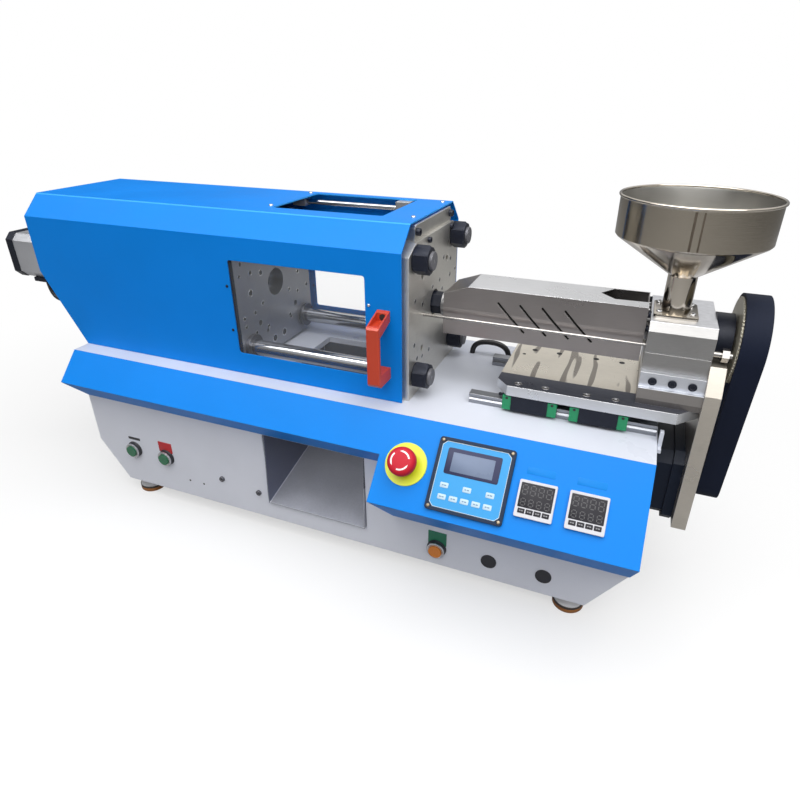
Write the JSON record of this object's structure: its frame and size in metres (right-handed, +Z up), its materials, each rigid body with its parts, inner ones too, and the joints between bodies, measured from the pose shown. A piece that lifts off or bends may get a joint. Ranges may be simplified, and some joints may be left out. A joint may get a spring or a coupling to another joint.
{
  "type": "desktop injection molding machine",
  "caption": "Bench-top horizontal injection moulding machine with a sliding guard hood, screw unit, belt drive, hopper and sloping console.",
  "frame": {"origin": "middle of the machine's box, on the floor under the feet", "axes": "+X along the machine from the clamp motor to the belt drive, +Y from the operator to the back, +Z up"},
  "size_m": [1.313, 0.3886, 0.595],
  "materials": {
    "blue_paint": "satin",
    "grey_paint": "satin",
    "white_paint": "satin",
    "orange_plastic": "gloss",
    "clear_pane": "clear",
    "bright_rod": "polished",
    "machined_plate": "ground",
    "stainless_sheet": "polished",
    "black_steel": "satin",
    "motor_aluminium": "satin",
    "inner_steel": "satin",
    "bronze_bush": "satin",
    "cream_pulley": "satin",
    "belt_rubber": "matte",
    "green_plastic": "gloss",
    "foot_steel": "satin",
    "foot_resin": "matte",
    "estop_yellow": "gloss",
    "estop_dark": "matte",
    "estop_red": "gloss",
    "display_frame": "satin",
    "display_film": "satin",
    "controller_shell": "satin",
    "controller_dark": "gloss",
    "button_shell": "satin",
    "button_green": "gloss",
    "button_amber": "gloss",
    "plug_black": "matte",
    "drive_case": "satin"
  },
  "bodies": {
    "frame": {"base_cabinet": "grey_paint", "deck_plate": "white_paint", "console_panel": "blue_paint", "foot_cups": "foot_steel", "foot_pads": "foot_resin", "chute_tray": "stainless_sheet", "estop_ring": "estop_yellow", "estop_base": "estop_dark", "hmi_frame": "display_frame", "hmi_overlay": "display_film", "controller_cases": "controller_shell", "controller_faces": "controller_dark", "button_bodies": "button_shell", "hole_plugs": "plug_black", "drive_units": "drive_case", "fixed_platen": "machined_plate", "platen_top_bar": "machined_plate", "tail_platen": "machined_plate", "tie_bars": "bright_rod", "tie_bar_nuts": "black_steel", "hood_guide_rods": "bright_rod", "clamp_tube": "motor_aluminium", "screw_bearing": "inner_steel", "motor_mount": "motor_aluminium", "clamp_motor": "motor_aluminium", "clamp_motor_caps": "black_steel", "leads": "belt_rubber", "linear_rails": "bright_rod", "stop_rods": "bright_rod"},
    "clamp_slide": {"moving_platen": "machined_plate", "platen_bushes": "bronze_bush", "clamp_ram": "bright_rod", "ball_nut": "inner_steel"},
    "clamp_screw": {"ball_screw": "bright_rod", "motor_coupling": "motor_aluminium"},
    "hood": {"hood": "blue_paint", "hood_panes": "clear_pane", "hood_slide_blocks": "machined_plate", "hood_handle": "orange_plastic"},
    "carriage": {"carriage_plate": "machined_plate", "bearing_blocks": "black_steel", "block_end_caps": "green_plastic", "drive_plate": "machined_plate", "feed_riser": "machined_plate", "feed_block": "machined_plate", "hopper": "stainless_sheet", "barrel": "inner_steel", "nozzle": "black_steel", "heater_bands": "inner_steel", "heater_cover": "stainless_sheet", "bearing_housing": "black_steel", "injection_motor": "black_steel", "drive_belt": "belt_rubber"},
    "feed_screw": {"feed_screw": "inner_steel", "large_pulley": "cream_pulley"},
    "motor_pulley": {"small_pulley": "inner_steel"},
    "estop_head": {"estop_head": "estop_red"},
    "green_button_left": {"green_button_left": "button_green"},
    "green_button_right": {"green_button_right": "button_green"},
    "amber_button": {"amber_button": "button_amber"}
  },
  "joints": [
    {"name": "platen_slide", "type": "slide", "parent": "frame", "child": "clamp_slide", "axis": [1, 0, 0], "range_m": [0, 0.14]},
    {"name": "clamp_screw_turn", "type": "hinge", "parent": "frame", "child": "clamp_screw", "pos_m": [-0.3435, 0.04233, 0.417], "axis": [1, 0, 0], "range_deg": [0, 2521]},
    {"name": "hood_slide", "type": "slide", "parent": "frame", "child": "hood", "axis": [-1, 0, 0], "range_m": [0, 0.2]},
    {"name": "carriage_slide", "type": "slide", "parent": "frame", "child": "carriage", "axis": [1, 0, 0], "range_m": [0, 0.01]},
    {"name": "feed_screw_turn", "type": "hinge", "parent": "carriage", "child": "feed_screw", "pos_m": [0.2125, 0.04233, 0.417], "axis": [1, 0, 0], "continuous": true},
    {"name": "motor_pulley_turn", "type": "hinge", "parent": "carriage", "child": "motor_pulley", "pos_m": [0.6415, 0.04233, 0.205], "axis": [1, 0, 0], "continuous": true},
    {"name": "estop_press", "type": "slide", "parent": "frame", "child": "estop_head", "axis": [0, 0.7314, -0.682], "range_m": [0, 0.004], "stiffness_N_per_m": 800},
    {"name": "green_left_press", "type": "slide", "parent": "frame", "child": "green_button_left", "axis": [0, 1, 0], "range_m": [0, 0.003], "stiffness_N_per_m": 500},
    {"name": "green_right_press", "type": "slide", "parent": "frame", "child": "green_button_right", "axis": [0, 1, 0], "range_m": [0, 0.003], "stiffness_N_per_m": 500},
    {"name": "amber_press", "type": "slide", "parent": "frame", "child": "amber_button", "axis": [0, 1, 0], "range_m": [0, 0.003], "stiffness_N_per_m": 500}
  ],
  "couplings": [
    {"joint": "clamp_screw_turn", "follows": "platen_slide", "rad_per_m": 314.16},
    {"joint": "motor_pulley_turn", "follows": "feed_screw_turn", "ratio": 2.25}
  ]
}
